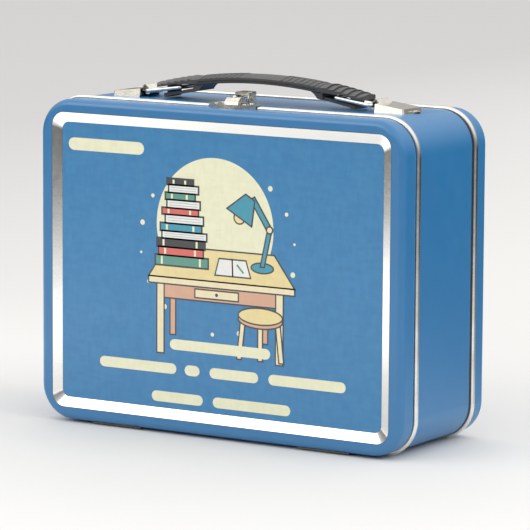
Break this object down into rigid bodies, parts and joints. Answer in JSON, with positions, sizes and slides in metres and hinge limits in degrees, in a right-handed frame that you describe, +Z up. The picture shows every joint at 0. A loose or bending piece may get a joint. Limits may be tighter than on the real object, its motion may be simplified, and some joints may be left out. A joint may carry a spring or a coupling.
{
  "type": "metal lunch box",
  "caption": "Hinged steel lunch box with a sunk printed front panel, silver rims, a snap latch on top and a moulded handle that lifts on two wire bails.",
  "frame": {"origin": "under the middle of the box, on the surface its two rims stand on", "axes": "+X across the front to the right, +Y from the lid to the rear, +Z up"},
  "size_m": [0.2188, 0.083, 0.182],
  "materials": {
    "blue_paint": "semi-gloss baked paint",
    "printed_panel": "satin printed coating",
    "bare_steel": "bright rolled",
    "plated_steel": "bright nickel plate, slightly worn",
    "plated_wire": "bright plated wire",
    "grip_plastic": "fine moulded grain"
  },
  "bodies": {
    "case": {"side_band": "blue_paint", "front_rim": "bare_steel", "rear_rim": "bare_steel", "rear_shell": "blue_paint", "hinge_leaf_body_left": "bare_steel", "hinge_leaf_body_right": "bare_steel", "hinge_pins": "bare_steel", "hinge_rivets_body": "bare_steel", "handle_bracket_left": "plated_steel", "handle_bracket_right": "plated_steel", "bracket_rivets": "plated_steel", "latch_base": "plated_steel", "latch_base_rivets": "plated_steel", "latch_pin": "plated_steel"},
    "lid": {"lid_shell": "blue_paint", "art_panel": "printed_panel", "hinge_leaf_lid_left": "bare_steel", "hinge_leaf_lid_right": "bare_steel", "hinge_rivets_lid": "bare_steel", "keeper_plate": "plated_steel", "keeper_rivets": "plated_steel"},
    "latch_lever": {"latch_lever": "plated_steel"},
    "handle": {"handle_grip": "grip_plastic"},
    "bail_left": {"bail_left": "plated_wire"},
    "bail_right": {"bail_right": "plated_wire"}
  },
  "joints": [
    {"name": "lid_hinge", "type": "hinge", "parent": "case", "child": "lid", "pos_m": [0, -0.0308, 0.00135], "axis": [1, 0, 0], "range_deg": [0, 100]},
    {"name": "latch_pivot", "type": "hinge", "parent": "case", "child": "latch_lever", "pos_m": [0.0018, -0.0178, 0.1712], "axis": [-1, 0, 0], "range_deg": [0, 85]},
    {"name": "handle_lift", "type": "slide", "parent": "case", "child": "handle", "axis": [0, 0, 1], "range_m": [0, 0.0132]},
    {"name": "bail_left_pivot", "type": "hinge", "parent": "case", "child": "bail_left", "pos_m": [-0.0654, 0, 0.1704], "axis": [0, -1, 0], "range_deg": [0, 38.6]},
    {"name": "bail_right_pivot", "type": "hinge", "parent": "case", "child": "bail_right", "pos_m": [0.069, 0, 0.1704], "axis": [0, 1, 0], "range_deg": [0, 38.6]}
  ],
  "couplings": [
    {"joint": "bail_left_pivot", "follows": "handle_lift", "rad_per_m": 50.7},
    {"joint": "bail_right_pivot", "follows": "handle_lift", "rad_per_m": 50.7}
  ]
}
